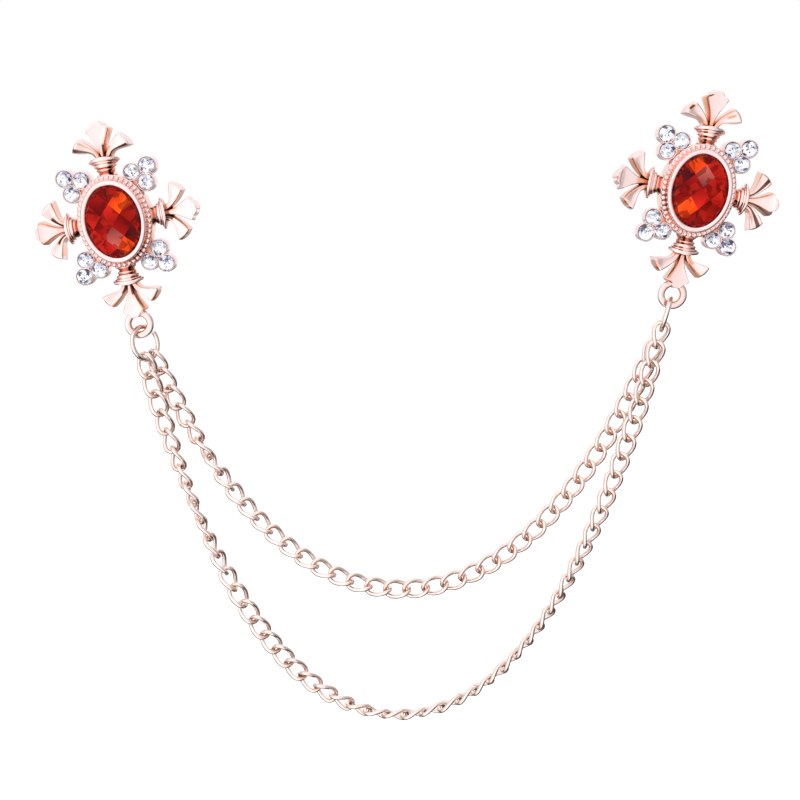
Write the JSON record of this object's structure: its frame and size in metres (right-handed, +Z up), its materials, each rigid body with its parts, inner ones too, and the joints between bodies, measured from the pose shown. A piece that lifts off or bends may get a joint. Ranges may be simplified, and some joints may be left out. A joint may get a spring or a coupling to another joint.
{
  "type": "lapel chain",
  "caption": "Pair of cross brooches, each with an oval red stone and round clear stones, joined by two swags of curb chain for a lapel or collar.",
  "frame": {"origin": "on the left brooch's pin stem, straight behind the middle of its stone, where it pins on", "axes": "+X from the left brooch to the right one, +Z up, -Y out of the fronts toward the viewer"},
  "size_m": [0.1315, 0.0101, 0.1171],
  "materials": {
    "rose_gold": "polished pale rose-gold plate with darker orange-brown recesses",
    "chain_gold": "polished pale rose-gold plated links",
    "pin_metal": "plain plated pin finding",
    "red_stone": "deep red glass with a chequerboard crown",
    "clear_stone": "foil-backed clear brilliant"
  },
  "bodies": {
    "root": {"brooch_left": "rose_gold", "brooch_right": "rose_gold", "gem_left": "red_stone", "gem_right": "red_stone", "pin_left": "pin_metal", "pin_right": "pin_metal", "jump_ring_left": "rose_gold", "jump_ring_right": "rose_gold", "chain_inner": "chain_gold", "chain_outer": "chain_gold", "crystal_left_01": "clear_stone", "crystal_left_02": "clear_stone", "crystal_left_03": "clear_stone", "crystal_left_04": "clear_stone", "crystal_left_05": "clear_stone", "crystal_left_06": "clear_stone", "crystal_left_07": "clear_stone", "crystal_left_08": "clear_stone", "crystal_left_09": "clear_stone", "crystal_left_10": "clear_stone", "crystal_left_11": "clear_stone", "crystal_left_12": "clear_stone", "crystal_right_01": "clear_stone", "crystal_right_02": "clear_stone", "crystal_right_03": "clear_stone", "crystal_right_04": "clear_stone", "crystal_right_05": "clear_stone", "crystal_right_06": "clear_stone", "crystal_right_07": "clear_stone", "crystal_right_08": "clear_stone", "crystal_right_09": "clear_stone", "crystal_right_10": "clear_stone", "crystal_right_11": "clear_stone", "crystal_right_12": "clear_stone"}
  },
  "joints": []
}
